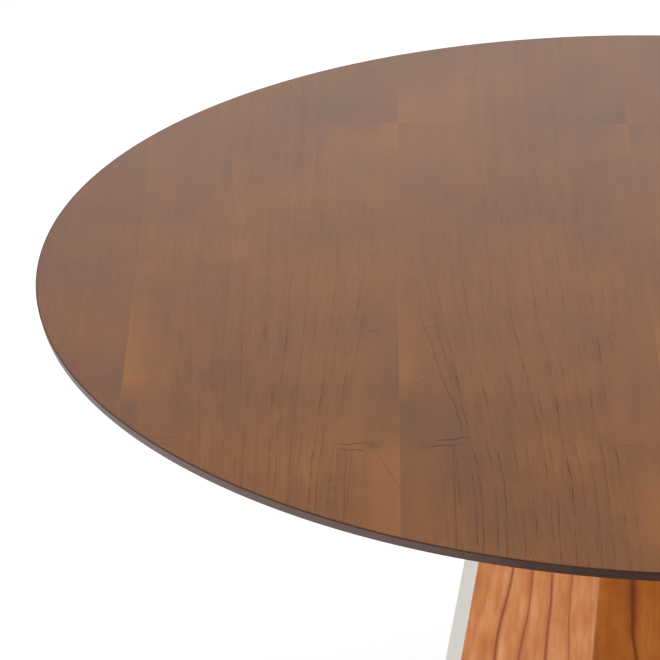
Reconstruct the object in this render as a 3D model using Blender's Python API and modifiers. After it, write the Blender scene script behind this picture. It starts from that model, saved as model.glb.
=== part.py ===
# Round pedestal table: a bevelled round top, bolted to a mitred octagonal pedestal on levelling feet.
# Metres, +Z up, the floor at z = 0, the pedestal's axis on Z and its front panel facing -Y.
import bmesh
import bpy
from math import cos, pi, radians, sin, tan
from mathutils import Matrix

for old in list(bpy.data.objects):
    bpy.data.objects.remove(old, do_unlink=True)

# Driving sizes of the table
TOP_RADIUS = 0.600
TABLE_HEIGHT = 0.760
BASE_CORNER_RADIUS = 0.279
NECK_CORNER_RADIUS = 0.155
FLOOR_GAP = 0.008
SIDES = 8

# The top: its board, the edge that leans in, the bevel under it, and the veneer
BOARD = 0.024
VENEER = 0.001
EDGE_HEIGHT = 0.009
EDGE_LEAN = 0.002
BEVEL_WIDTH = 0.060
ARRIS = 0.0006
TOP_STEPS = 128

# Boards of the pedestal
PANEL = 0.018
PLATE = 0.018
PLATE_OVERHANG = 0.090
FORMER = 0.025
MIDDLE_FORMER = 0.018
MIDDLE_HEIGHT = 0.370
MIDDLE_RING = 0.075
BOTTOM_RING = 0.085

# Fits: between boards, round fasteners in their holes, and past the end of a blind hole
GAP = 0.0003
CLEARANCE = 0.0003
HOLE_END = 0.0005
CUT = 0.004

# Bolts that hold the top to the plate
BOLT_INSET = 0.035
BOLT_R = 0.003
BOLT_HEAD_R = 0.005
BOLT_HEAD = 0.006
BOLT_IN_INSERT = 0.011
BOLT_KEY = 0.005
BOLT_KEY_DEPTH = 0.003
WASHER_R = 0.0075
WASHER = 0.0016
INSERT_R = 0.005
INSERT = 0.013

# Screws from the plate into the top former
SCREW_INSET = 0.032
SCREW_R = 0.00225
SCREW_HEAD_R = 0.0045
SCREW_LENGTH = 0.038
SCREW_KEY = 0.003
SCREW_KEY_DEPTH = 0.0014
SCREW_TIP = 0.004

# Dowels between panels and formers
DOWEL_R = 0.004
DOWEL_IN_PANEL = 0.011
DOWEL_IN_FORMER = 0.019

# Levelling feet
FOOT_INSET = 0.042
PAD_R = 0.017
PAD = 0.010
PAD_SHOULDER = 0.004
PAD_BOSS_R = 0.0085
PAD_SOCKET = 0.006
STEM_R = 0.004
STEM_ABOVE_COLLAR = 0.0255
COLLAR = 0.006
COLLAR_ACROSS = 0.013
NUT_FLANGE_R = 0.011
NUT_FLANGE = 0.0015
NUT_BARREL_R = 0.0052
NUT_LENGTH = 0.015

ROUND_STEPS = 16
PAD_STEPS = 24
SHARP = radians(30)
TURN = 2 * pi / SIDES
HALF_TURN = TURN / 2
FOUR = [radians(45 + 90 * k) for k in range(4)]
FOUR_ALONG = [radians(90 * k) for k in range(4)]
EIGHT = [TURN * k for k in range(SIDES)]

# Heights, worked down from the top face and up from the floor
BOARD_TOP = TABLE_HEIGHT - VENEER - GAP
BOARD_UNDER = BOARD_TOP - BOARD
PLATE_TOP = BOARD_UNDER - GAP
PLATE_UNDER = PLATE_TOP - PLATE
PEDESTAL_TOP = PLATE_UNDER - GAP
TOP_FORMER_UNDER = PEDESTAL_TOP - FORMER
COLLAR_UNDER = PAD + GAP
COLLAR_TOP = COLLAR_UNDER + COLLAR
NUT_UNDER = COLLAR_TOP + GAP
BOTTOM_FORMER_UNDER = NUT_UNDER + NUT_FLANGE + GAP

table = bpy.data.collections.new("round_pedestal_table")
cutters = bpy.data.collections.new("cutters")
for group in (table, cutters):
    bpy.context.scene.collection.children.link(group)
cutters.hide_render = True


def material(name, colour, roughness, metallic=0.0):
    made = bpy.data.materials.new(name)
    made.use_nodes = True
    shader = made.node_tree.nodes["Principled BSDF"]
    shader.inputs["Base Color"].default_value = (*colour, 1.0)
    shader.inputs["Roughness"].default_value = roughness
    shader.inputs["Metallic"].default_value = metallic
    return made


def add(name, mesh_or_bmesh, finish):
    """One sub-part from a mesh or a bmesh, or a hidden cutter where finish is None."""
    mesh = mesh_or_bmesh
    if isinstance(mesh_or_bmesh, bmesh.types.BMesh):
        mesh = bpy.data.meshes.new(name)
        mesh_or_bmesh.to_mesh(mesh)
        mesh_or_bmesh.free()
        mesh.shade_smooth()
        mesh.set_sharp_from_angle(angle=SHARP)
    piece = bpy.data.objects.new(name, mesh)
    if finish is None:
        cutters.objects.link(piece)
        piece.hide_render = True
        piece.display_type = "WIRE"
    else:
        table.objects.link(piece)
        mesh.materials.append(finish)
    return piece


def boolean(piece, other, operation="DIFFERENCE"):
    step = piece.modifiers.new(other.name, "BOOLEAN")
    step.operation = operation
    step.solver = "EXACT"
    step.object = other


def turned(name, profile, steps, finish, ring=False):
    """A turned piece: its half profile of (radius, height) points runs down the outside, and closes if it is a ring."""
    count = len(profile)
    edges = [(i, i + 1) for i in range(count - 1)]
    if ring:
        edges.append((count - 1, 0))
    mesh = bpy.data.meshes.new(name)
    mesh.from_pydata([(r, 0.0, z) for r, z in profile], edges, [])
    piece = add(name, mesh, finish)
    lathe = piece.modifiers.new("turning", "SCREW")
    lathe.steps = steps
    lathe.render_steps = steps
    lathe.use_merge_vertices = True
    lathe.merge_threshold = 0.00001
    return piece


def place(piece, radius, angle):
    piece.location.x = radius * cos(angle)
    piece.location.y = radius * sin(angle)


def prism(bm, sides, low_radius, high_radius, low, high, turn=0.0):
    """Adds an upright prism or tapering prism, with its corners at the given radii."""
    middle = Matrix.Translation((0.0, 0.0, (low + high) / 2))
    bmesh.ops.create_cone(
        bm,
        cap_ends=True,
        segments=sides,
        radius1=low_radius,
        radius2=high_radius,
        depth=high - low,
        matrix=middle @ Matrix.Rotation(turn, 4, "Z"),
    )


def upright_holes(name, radius, low, high, circle, angles):
    """A cutter with one upright cylinder at each angle of a circle."""
    bm = bmesh.new()
    for angle in angles:
        spot = Matrix.Translation((circle * cos(angle), circle * sin(angle), (low + high) / 2))
        bmesh.ops.create_cone(
            bm,
            cap_ends=True,
            segments=ROUND_STEPS,
            radius1=radius,
            radius2=radius,
            depth=high - low,
            matrix=spot,
        )
    return add(name, bm, None)


def across_flats(z):
    """Distance from the axis to the outside of a panel at a height: the pedestal's taper."""
    corner = BASE_CORNER_RADIUS + (NECK_CORNER_RADIUS - BASE_CORNER_RADIUS) * z / TABLE_HEIGHT
    return corner * cos(HALF_TURN)


PANEL_SLOPE = (across_flats(0.0) - across_flats(TABLE_HEIGHT)) / TABLE_HEIGHT
PANEL_LEVEL = PANEL * (1 + PANEL_SLOPE**2) ** 0.5
GAP_LEVEL = GAP * (1 + PANEL_SLOPE**2) ** 0.5


def inside_flats(z):
    return across_flats(z) - PANEL_LEVEL


# Circles that the fasteners lie on, set in from the edge of the board that holds them
PLATE_FLATS = across_flats(PEDESTAL_TOP) + PLATE_OVERHANG
BOLT_CIRCLE = PLATE_FLATS - BOLT_INSET
SCREW_CIRCLE = inside_flats(PEDESTAL_TOP) - SCREW_INSET
FOOT_CIRCLE = inside_flats(BOTTOM_FORMER_UNDER) - FOOT_INSET

# Finishes, plain here
stained_veneer = material("stained_veneer", (0.20, 0.11, 0.07), 0.4)
edge_lacquer = material("edge_lacquer", (0.09, 0.05, 0.035), 0.4)
orange_veneer = material("orange_veneer", (0.45, 0.22, 0.09), 0.45)
pale_lacquer = material("pale_lacquer", (0.72, 0.70, 0.67), 0.4)
dark_lacquer = material("dark_lacquer", (0.05, 0.04, 0.035), 0.5)
raw_board = material("raw_board", (0.40, 0.29, 0.18), 0.8)
beech = material("beech", (0.60, 0.42, 0.25), 0.7)
zinc = material("zinc", (0.60, 0.61, 0.62), 0.35, 1.0)
black_steel = material("black_steel", (0.03, 0.03, 0.03), 0.4, 1.0)
black_plastic = material("black_plastic", (0.02, 0.02, 0.02), 0.5)

# Table top: the edge leans in below the face, and a wide bevel thins it towards the rim
edge_low = TABLE_HEIGHT - EDGE_HEIGHT
table_top = turned(
    "table_top",
    [
        (0.0, BOARD_TOP),
        (TOP_RADIUS - ARRIS, BOARD_TOP),
        (TOP_RADIUS - EDGE_LEAN, edge_low + ARRIS),
        (TOP_RADIUS - EDGE_LEAN - ARRIS, edge_low),
        (TOP_RADIUS - BEVEL_WIDTH, BOARD_UNDER),
        (0.0, BOARD_UNDER),
    ],
    TOP_STEPS,
    edge_lacquer,
)
insert_top = BOARD_UNDER + INSERT
boolean(
    table_top,
    upright_holes(
        "insert_holes", INSERT_R + CLEARANCE, BOARD_UNDER - CUT, insert_top + HOLE_END, BOLT_CIRCLE, FOUR
    ),
)

# Veneer sheet on the board, with its arris broken
turned(
    "top_veneer",
    [
        (0.0, TABLE_HEIGHT),
        (TOP_RADIUS - ARRIS, TABLE_HEIGHT),
        (TOP_RADIUS, TABLE_HEIGHT - ARRIS),
        (TOP_RADIUS, TABLE_HEIGHT - VENEER),
        (0.0, TABLE_HEIGHT - VENEER),
    ],
    TOP_STEPS,
    stained_veneer,
)

# Mounting plate: an octagon wider than the pedestal's neck, drilled for the bolts and countersunk for the screws
plate_mesh = bmesh.new()
plate_corner = PLATE_FLATS / cos(HALF_TURN)
prism(plate_mesh, SIDES, plate_corner, plate_corner, PLATE_UNDER, PLATE_TOP, HALF_TURN)
mounting_plate = add("mounting_plate", plate_mesh, dark_lacquer)
boolean(
    mounting_plate,
    upright_holes(
        "bolt_holes", BOLT_R + CLEARANCE, PLATE_UNDER - CUT, PLATE_TOP + CUT, BOLT_CIRCLE, FOUR
    ),
)

# Bolts, washers and threaded inserts that hold the top
washer_top = PLATE_UNDER - GAP
head_top = washer_top - WASHER - GAP
head_under = head_top - BOLT_HEAD
bolt_end = BOARD_UNDER + BOLT_IN_INSERT
for number, angle in enumerate(FOUR, 1):
    bolt = turned(
        f"top_bolt_{number}",
        [
            (0.0, bolt_end),
            (BOLT_R, bolt_end),
            (BOLT_R, head_top),
            (BOLT_HEAD_R, head_top),
            (BOLT_HEAD_R, head_under),
            (0.0, head_under),
        ],
        ROUND_STEPS,
        black_steel,
    )
    key_mesh = bmesh.new()
    key_corner = BOLT_KEY / 2 / cos(pi / 6)
    prism(key_mesh, 6, key_corner, key_corner, head_under - CUT, head_under + BOLT_KEY_DEPTH)
    key = add(f"bolt_key_{number}", key_mesh, None)
    boolean(bolt, key)
    washer = turned(
        f"top_washer_{number}",
        [
            (WASHER_R, washer_top),
            (WASHER_R, washer_top - WASHER),
            (BOLT_R + CLEARANCE, washer_top - WASHER),
            (BOLT_R + CLEARANCE, washer_top),
        ],
        ROUND_STEPS,
        black_steel,
        ring=True,
    )
    insert = turned(
        f"top_insert_{number}",
        [
            (INSERT_R, insert_top),
            (INSERT_R, BOARD_UNDER),
            (BOLT_R + CLEARANCE, BOARD_UNDER),
            (BOLT_R + CLEARANCE, insert_top),
        ],
        ROUND_STEPS,
        zinc,
        ring=True,
    )
    for piece in (bolt, key, washer, insert):
        place(piece, BOLT_CIRCLE, angle)


def former(name, low, high):
    """An octagonal board that fits inside the panels and follows their taper."""
    bm = bmesh.new()
    corner = 1 / cos(HALF_TURN)
    low_radius = (inside_flats(low) - GAP_LEVEL) * corner
    high_radius = (inside_flats(high) - GAP_LEVEL) * corner
    prism(bm, SIDES, low_radius, high_radius, low, high, HALF_TURN)
    return add(name, bm, raw_board)


def opening(name, ring, low, high):
    """A cutter that leaves an octagonal board as a ring of the given width."""
    bm = bmesh.new()
    corner = (inside_flats(low) - ring) / cos(HALF_TURN)
    prism(bm, SIDES, corner, corner, low - CUT, high + CUT, HALF_TURN)
    return add(name, bm, None)


# Formers inside the pedestal: a closed one at the neck, and two open rings
top_former = former("top_former", TOP_FORMER_UNDER, PEDESTAL_TOP)
middle_top = MIDDLE_HEIGHT + MIDDLE_FORMER
middle_former = former("middle_former", MIDDLE_HEIGHT, middle_top)
boolean(middle_former, opening("middle_opening", MIDDLE_RING, MIDDLE_HEIGHT, middle_top))
bottom_former_top = BOTTOM_FORMER_UNDER + FORMER
bottom_former = former("bottom_former", BOTTOM_FORMER_UNDER, bottom_former_top)
boolean(bottom_former, opening("bottom_opening", BOTTOM_RING, BOTTOM_FORMER_UNDER, bottom_former_top))

# Countersunk screws from the plate into the top former, and the cutter for their holes
screw_tip = PLATE_TOP - SCREW_LENGTH
head_depth = SCREW_HEAD_R - SCREW_R
screw_profile = [
    (0.0, PLATE_TOP),
    (SCREW_HEAD_R, PLATE_TOP),
    (SCREW_R, PLATE_TOP - head_depth),
    (SCREW_R, screw_tip + SCREW_TIP),
    (0.0, screw_tip),
]
hole_r = SCREW_R + CLEARANCE
hole_profile = [
    (0.0, PLATE_TOP + CUT),
    (SCREW_HEAD_R + CLEARANCE + CUT, PLATE_TOP + CUT),
    (hole_r, PLATE_TOP - head_depth),
    (hole_r, screw_tip - HOLE_END),
    (0.0, screw_tip - HOLE_END),
]
for number, angle in enumerate(FOUR_ALONG, 1):
    screw = turned(f"plate_screw_{number}", screw_profile, ROUND_STEPS, zinc)
    key_mesh = bmesh.new()
    key_corner = SCREW_KEY / 2 / cos(pi / 6)
    prism(key_mesh, 6, key_corner, key_corner, PLATE_TOP - SCREW_KEY_DEPTH, PLATE_TOP + CUT)
    key = add(f"screw_key_{number}", key_mesh, None)
    boolean(screw, key)
    hole = turned(f"screw_hole_{number}", hole_profile, ROUND_STEPS, None)
    for piece in (screw, key, hole):
        place(piece, SCREW_CIRCLE, angle)
    boolean(mounting_plate, hole)
    boolean(top_former, hole)


def panel(name, angle, finish):
    """A tapering board: a cube whose corners are pulled to the mitres, the slope and the level ends."""
    bm = bmesh.new()
    bmesh.ops.create_cube(bm, size=2.0)
    for corner in bm.verts:
        z = PEDESTAL_TOP if corner.co.z > 0 else FLOOR_GAP
        out = across_flats(z) if corner.co.x > 0 else inside_flats(z)
        mitre = out * tan(HALF_TURN) - GAP / 2 / cos(HALF_TURN)
        corner.co = (out, mitre if corner.co.y > 0 else -mitre, z)
    bmesh.ops.rotate(bm, matrix=Matrix.Rotation(angle, 3, "Z"), verts=bm.verts)
    return add(name, bm, finish)


def dowel(bm, radius, inner, outer, z, angle):
    """Adds a level cylinder that points away from the axis."""
    to_middle = Matrix.Rotation(angle, 4, "Z") @ Matrix.Translation(((inner + outer) / 2, 0.0, z))
    bmesh.ops.create_cone(
        bm,
        cap_ends=True,
        segments=ROUND_STEPS,
        radius1=radius,
        radius2=radius,
        depth=outer - inner,
        matrix=to_middle @ Matrix.Rotation(pi / 2, 4, "Y"),
    )


# Panels, in order from the right-hand side anticlockwise: the two at the sides are pale, the rest veneered
panels = []
for side, angle in zip(
    ("right", "back_right", "back", "back_left", "left", "front_left", "front", "front_right"), EIGHT
):
    finish = pale_lacquer if side in ("left", "right") else orange_veneer
    panels.append(panel(f"panel_{side}", angle, finish))

# Dowels through the middle of each panel into the top and bottom formers, and the holes for them
for place_name, board, low, high in (
    ("top", top_former, TOP_FORMER_UNDER, PEDESTAL_TOP),
    ("bottom", bottom_former, BOTTOM_FORMER_UNDER, bottom_former_top),
):
    level = (low + high) / 2
    seam = inside_flats(level)
    inner = seam - DOWEL_IN_FORMER
    outer = seam + DOWEL_IN_PANEL
    holes = bmesh.new()
    for number, angle in enumerate(EIGHT, 1):
        pin = bmesh.new()
        dowel(pin, DOWEL_R, inner, outer, level, angle)
        add(f"{place_name}_dowel_{number}", pin, beech)
        dowel(holes, DOWEL_R + CLEARANCE, inner - HOLE_END, outer + HOLE_END, level, angle)
    hole_cutter = add(f"{place_name}_dowel_holes", holes, None)
    for piece in [board, *panels]:
        boolean(piece, hole_cutter)

# Levelling feet: a tee nut in the bottom former, a threaded stem with a hexagon collar, and a pad it swivels in
boolean(
    bottom_former,
    upright_holes(
        "nut_holes",
        NUT_BARREL_R + CLEARANCE,
        BOTTOM_FORMER_UNDER - CUT,
        bottom_former_top + CUT,
        FOOT_CIRCLE,
        FOUR,
    ),
)
nut_flange_top = NUT_UNDER + NUT_FLANGE
nut_top = NUT_UNDER + NUT_LENGTH
stem_low = PAD - PAD_SOCKET + GAP
stem_top = COLLAR_TOP + STEM_ABOVE_COLLAR
bore_r = STEM_R + CLEARANCE
for number, angle in enumerate(FOUR, 1):
    nut = turned(
        f"foot_nut_{number}",
        [
            (NUT_BARREL_R, nut_top),
            (NUT_BARREL_R, nut_flange_top),
            (NUT_FLANGE_R, nut_flange_top),
            (NUT_FLANGE_R, NUT_UNDER),
            (bore_r, NUT_UNDER),
            (bore_r, nut_top),
        ],
        ROUND_STEPS,
        zinc,
        ring=True,
    )
    stem = turned(
        f"foot_stem_{number}",
        [(0.0, stem_top), (STEM_R, stem_top), (STEM_R, stem_low), (0.0, stem_low)],
        ROUND_STEPS,
        zinc,
    )
    collar_mesh = bmesh.new()
    collar_corner = COLLAR_ACROSS / 2 / cos(pi / 6)
    prism(collar_mesh, 6, collar_corner, collar_corner, COLLAR_UNDER, COLLAR_TOP)
    collar = add(f"foot_collar_{number}", collar_mesh, None)
    boolean(stem, collar, "UNION")
    pad = turned(
        f"foot_pad_{number}",
        [
            (0.0, PAD - PAD_SOCKET),
            (bore_r, PAD - PAD_SOCKET),
            (bore_r, PAD),
            (PAD_BOSS_R, PAD),
            (PAD_R, PAD_SHOULDER),
            (PAD_R, ARRIS),
            (PAD_R - ARRIS, 0.0),
            (0.0, 0.0),
        ],
        PAD_STEPS,
        black_plastic,
    )
    for piece in (nut, stem, collar, pad):
        place(piece, FOOT_CIRCLE, angle)
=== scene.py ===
from functools import partial
from math import atan, cos, pi, radians, sin, tan

import bmesh
import bpy
from mathutils import Matrix, Vector


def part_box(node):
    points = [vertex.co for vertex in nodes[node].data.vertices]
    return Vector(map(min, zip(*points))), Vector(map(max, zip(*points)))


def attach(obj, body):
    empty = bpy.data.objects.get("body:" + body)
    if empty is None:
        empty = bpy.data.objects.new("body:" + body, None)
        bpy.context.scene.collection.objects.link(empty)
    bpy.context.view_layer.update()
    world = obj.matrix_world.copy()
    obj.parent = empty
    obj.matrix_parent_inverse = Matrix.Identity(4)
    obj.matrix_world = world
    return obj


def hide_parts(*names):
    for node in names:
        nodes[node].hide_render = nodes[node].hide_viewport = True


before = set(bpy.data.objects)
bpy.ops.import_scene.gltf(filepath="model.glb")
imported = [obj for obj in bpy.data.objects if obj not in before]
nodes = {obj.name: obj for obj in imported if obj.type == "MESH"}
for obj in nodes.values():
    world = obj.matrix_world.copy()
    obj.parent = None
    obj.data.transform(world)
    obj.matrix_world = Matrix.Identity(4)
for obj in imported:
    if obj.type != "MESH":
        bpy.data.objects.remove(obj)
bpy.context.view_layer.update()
scene = bpy.context.scene


# Formers: three octagonal boards inside the pedestal that hold its panels in shape. The lower two are rings.
# They are 18 and 25 mm MDF, sawn to the taper and drilled for dowels and tee nuts.

def linear(code):
    """The linear colour of an sRGB hex value, with full opacity."""
    shares = [int(code[k:k + 2], 16) / 255 for k in (1, 3, 5)]
    return (*(c / 12.92 if c <= 0.04045 else ((c + 0.055) / 1.055) ** 2.4 for c in shares), 1.0)


def source_of(value):
    """The first output in use of a node. Anything else stays as it is."""
    if isinstance(value, bpy.types.Node):
        return next(socket for socket in value.outputs if socket.enabled)
    return value


def add_node(tree, kind, *values, stops=(), **named):
    """Adds one node. The values go to its sockets in use, in order. A name with a capital is a socket too,
    and any other is a setting. A value may be a hex colour, a node or a socket, and a ramp's stop is a hex
    colour or a grey level."""
    made = tree.nodes.new("ShaderNode" + kind)
    for name, value in named.items():
        if name.islower():
            setattr(made, name, value)
    fed = list(zip([socket for socket in made.inputs if socket.enabled], values))
    fed += [(made.inputs[name], value) for name, value in named.items() if not name.islower()]
    for socket, value in fed:
        value = source_of(value)
        if isinstance(value, bpy.types.NodeSocket):
            tree.links.new(value, socket)
        else:
            socket.default_value = linear(value) if isinstance(value, str) else value
    if stops:
        places = made.color_ramp.elements
        while len(places) < len(stops):
            places.new(0.5)
        for place, (position, shade) in zip(places, stops):
            place.position = position
            place.color = linear(shade) if isinstance(shade, str) else (shade, shade, shade, 1.0)
    return made


def finish(name, roughness, **sockets):
    """A new material, what adds a node to it, its shader and its object coordinates. Values that hold all
    over the surface go on the shader."""
    made = bpy.data.materials.new(name)
    made.use_nodes = True
    shader = made.node_tree.nodes["Principled BSDF"]
    shader.inputs["Roughness"].default_value = roughness
    for socket, value in sockets.items():
        shader.inputs[socket.replace("_", " ")].default_value = value
    node = partial(add_node, made.node_tree)
    return made, node, shader, node("TexCoord").outputs["Object"]


def join(shader, **sources):
    """Links the named sockets of the shader to what drives them."""
    for socket, source in sources.items():
        shader.id_data.links.new(source_of(source), shader.inputs[socket.replace("_", " ")])


# MDF, sawn and lightly sanded: pressed fibre shows as a soft buff mottle with short darker flecks
MDF_FLECK = 0.0022
MDF_MOTTLE = 0.03
mdf, node, shader, spot = finish("mdf_sawn_and_sanded", 0.82)
mottle = node("TexNoise", Vector=spot, Scale=1 / MDF_MOTTLE, Detail=3.0)
fleck = node("TexNoise", Vector=spot, Scale=1 / MDF_FLECK, Detail=4.0, Roughness=0.7)
body = node("ValToRGB", fleck, stops=[
    (0.30, "#6E5338"), (0.46, "#A1815C"), (0.62, "#B4946C"), (0.80, "#C7A981")])
tone = node("ValToRGB", mottle, stops=[(0.3, "#D9D0C4"), (0.7, "#FFFFFF")])
colour = node("Mix", 1.0, body, tone, data_type="RGBA", blend_type="MULTIPLY")
rough = node("MapRange", fleck, 0.0, 1.0, 0.72, 0.92)
bump = node("Bump", Height=fleck, Strength=0.35, Distance=0.0004)
join(shader, Base_Color=colour, Roughness=rough, Normal=bump)

for name in ("top_former", "middle_former", "bottom_former"):
    nodes[name].material_slots[0].material = mdf


# Dowels: sixteen 8 mm pins, glued in, that hold each panel to the top and bottom formers.
# Beech, turned, with flutes that let the glue past, chamfered and cut to 30 mm.

# Beech, turned: pale pinkish straw with short dark flecks along the pin
BEECH_FLECK = 0.0007
BEECH_LENGTH = 0.004
beech, node, shader, spot = finish("beech_turned", 0.62)
grain = node("Mapping", Vector=spot, Scale=(1 / BEECH_FLECK, 1 / BEECH_FLECK, 1 / BEECH_LENGTH))
fleck = node("TexNoise", Vector=grain, Scale=1.0, Detail=3.0)
colour = node("ValToRGB", fleck, stops=[(0.32, "#9C7448"), (0.45, "#CDA676"), (0.75, "#DDBB8E")])
rough = node("MapRange", fleck, 0.0, 1.0, 0.5, 0.72)
bump = node("Bump", Height=fleck, Strength=0.2, Distance=0.0002)
join(shader, Base_Color=colour, Roughness=rough, Normal=bump)

SIDES = 8
HALF_TURN = pi / SIDES
DOWEL_R = 0.004
DOWEL_CHAMFER = 0.001
DOWEL_FLUTES = 20
DOWEL_FLUTE = 0.00035


def shown(name, bm, *finishes):
    """A piece in the scene from a bmesh, with its finishes in order of material number."""
    mesh = bpy.data.meshes.new(name)
    bm.to_mesh(mesh)
    bm.free()
    for finish_of_piece in finishes:
        mesh.materials.append(finish_of_piece)
    piece = bpy.data.objects.new(name, mesh)
    scene.collection.objects.link(piece)
    return piece


def stand_for(piece, cad_node, body, sharp=None):
    """The piece takes the CAD node's place on its body. Edges of more than sharp degrees stay sharp."""
    if sharp:
        piece.data.set_sharp_from_angle(angle=radians(sharp))
    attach(piece, body)
    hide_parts(cad_node)


def spun(profile, steps, ring=False, radius_at=None):
    """A bmesh turned about Z from (radius, height) points that run down the outside. A ring closes on itself.
    radius_at, if given, makes a radius out of (radius, height, angle)."""
    bm = bmesh.new()
    rows = []
    for r, z in profile:
        if r < 1e-7:
            rows.append([bm.verts.new((0.0, 0.0, z))])
            continue
        row = []
        for k in range(steps):
            angle = 2 * pi * k / steps
            reach = radius_at(r, z, angle) if radius_at else r
            row.append(bm.verts.new((reach * cos(angle), reach * sin(angle), z)))
        rows.append(row)
    pairs = list(zip(rows, rows[1:]))
    if ring:
        pairs.append((rows[-1], rows[0]))
    for high, low in pairs:
        for k in range(steps):
            n = (k + 1) % steps
            if len(high) == 1:
                bm.faces.new((high[0], low[k], low[n]))
            elif len(low) == 1:
                bm.faces.new((high[k], low[0], high[n]))
            else:
                bm.faces.new((high[k], low[k], low[n], high[n]))
    bm.normal_update()
    for each in bm.faces:
        each.smooth = abs(each.normal.z) < 0.9999
    return bm


def grooved(r, z, angle):
    """The pin's radius round its flutes, which run its whole length."""
    return r - DOWEL_FLUTE * (0.5 - 0.5 * cos(DOWEL_FLUTES * angle)) ** 2


for end in ("top", "bottom"):
    inner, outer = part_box(f"{end}_dowel_1")
    half = (outer.x - inner.x) / 2
    along = Matrix.Translation((inner + outer) / 2) @ Matrix.Rotation(pi / 2, 4, "Y")
    for number in range(1, SIDES + 1):
        pin = spun([
            (0.0, half), (DOWEL_R - DOWEL_CHAMFER, half), (DOWEL_R, half - DOWEL_CHAMFER),
            (DOWEL_R, DOWEL_CHAMFER - half), (DOWEL_R - DOWEL_CHAMFER, -half), (0.0, -half),
        ], DOWEL_FLUTES * 6, radius_at=grooved)
        piece = shown(f"fluted_dowel_{end}_{number}", pin, beech)
        piece.matrix_basis = Matrix.Rotation((number - 1) * 2 * HALF_TURN, 4, "Z") @ along
        stand_for(piece, f"{end}_dowel_{number}", "table", sharp=30)


# Panels: eight tapering boards with mitred sides, glued round the formers to close the pedestal.
# 18 mm MDF. Six are faced with an orange veneer under matt lacquer, and the two at the sides are off-white.

def levels(cad_node):
    """The lowest and the highest level of a CAD node."""
    return [corner.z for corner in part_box(cad_node)]


BASE_CORNER = 0.279
NECK_CORNER = 0.155
TABLE_HEIGHT = 0.760
PANEL = 0.018
PANEL_EASE = 0.0007
FLAT_AREA = 0.001
GLUE_LINE = 0.00004
PANEL_LOW, PANEL_HIGH = levels("panel_front")
TAPER = (BASE_CORNER - NECK_CORNER) * cos(HALF_TURN) / TABLE_HEIGHT
PANEL_LEVEL = PANEL / cos(atan(TAPER))


def panel_face(z):
    """Distance from the axis to the outside of a panel at a height."""
    return BASE_CORNER * cos(HALF_TURN) - TAPER * z


# Teak veneer, crown cut, sanded and sprayed with matt lacquer: orange with broad wavy red-brown streaks that
# fan out down the board, a soft shade beside each, and short dark pores. Leaves go from pale to deep orange
STREAK_SPACING = 0.0255
STREAK_BEND = 0.06
STREAK_WOBBLE = 0.11
FIRST_STREAK = -0.11
FAN_MIDDLE = 0.40
GRAIN_WIDTH = 0.006
GRAIN_LENGTH = 0.07
PORE_WIDTH = 0.0009
PORE_LENGTH = 0.014
CLOUD_WIDTH = 0.022
CLOUD_LENGTH = 0.05
SOFT = {"interpolation_type": "SMOOTHSTEP"}
teak, node, shader, spot = finish("teak_veneer_matt_lacquered", 0.4, IOR=1.5, Specular_IOR_Level=0.22)
shift, turn, depth = (
    node("Attribute", attribute_type="OBJECT", attribute_name=name).outputs["Fac"]
    for name in ("leaf_shift", "leaf_turn", "leaf_depth"))
axes = node("SeparateXYZ", spot)
height = node("Math", axes.outputs["Z"], FAN_MIDDLE, operation="SUBTRACT")
down = node("Math", height, turn, operation="MULTIPLY")
fan = node("MapRange", down, 0.34, -0.30, 0.62, 1.75, **SOFT)
across = node("Math", axes.outputs["Y"], fan, operation="DIVIDE")
leaf = node("CombineXYZ", axes.outputs["Y"], axes.outputs["Z"], shift)
warp_at = node("Mapping", Vector=leaf, Scale=(1 / STREAK_BEND, 1 / STREAK_WOBBLE, 7.0))
warp = node("TexNoise", Vector=warp_at, Scale=1.0, Detail=2.0, Roughness=0.45)
offset = node("Math", shift, FIRST_STREAK, operation="ADD")
count = node("Math", across, 1 / STREAK_SPACING, offset, operation="MULTIPLY_ADD")
wave = node("Math", warp, 0.6, count, operation="MULTIPLY_ADD")
share = node("Math", wave, operation="FRACT")
ring = node("Math", wave, operation="FLOOR")
pick = node("Math", ring, 0.4, 0.75, operation="MULTIPLY_ADD")
pick = node("Math", shift, 0.31, pick, operation="MULTIPLY_ADD")
strength = node("Math", pick, operation="FRACT")
off = node("Math", node("Math", share, 0.9, operation="SUBTRACT"), -0.5, 0.5, operation="WRAP")
off = node("Math", off, operation="ABSOLUTE")
breadth = node("MapRange", strength, 0.0, 1.0, 0.055, 0.12)
core = node("MapRange", off, 0.01, breadth, 1.0, 0.0, **SOFT)
halo = node("MapRange", off, 0.04, 0.26, 0.26, 0.0, **SOFT)
streak = node("Math", core, halo, operation="MAXIMUM")
crown = node("MapRange", node("Math", across, operation="ABSOLUTE"), 0.040, 0.056, 1.0, 0.12, **SOFT)
streak_power = node("MapRange", strength, 0.0, 1.0, 0.62, 0.84)
for factor in (streak_power, crown):
    streak = node("Math", streak, factor, operation="MULTIPLY")
pale_side = node("MapRange", share, 0.03, 0.35, 0.12, 0.0, **SOFT)
fine_at = node("Mapping", Vector=leaf, Scale=(1 / GRAIN_WIDTH, 1 / GRAIN_LENGTH, 11.0))
fine = node("TexNoise", Vector=fine_at, Scale=1.0, Detail=2.0, Roughness=0.5)
pore_at = node("Mapping", Vector=leaf, Scale=(1 / PORE_WIDTH, 1 / PORE_LENGTH, 5.0))
pore = node("TexNoise", Vector=pore_at, Scale=1.0, Detail=1.0)
pore = node("MapRange", pore, 0.62, 0.76, 0.0, 1.0)
cloud_at = node("Mapping", Vector=leaf, Scale=(1 / CLOUD_WIDTH, 1 / CLOUD_LENGTH, 3.0))
cloud = node("TexNoise", Vector=cloud_at, Scale=1.0, Detail=3.0, Roughness=0.55)
cloud = node("Math", cloud, pale_side, operation="ADD")
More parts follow.
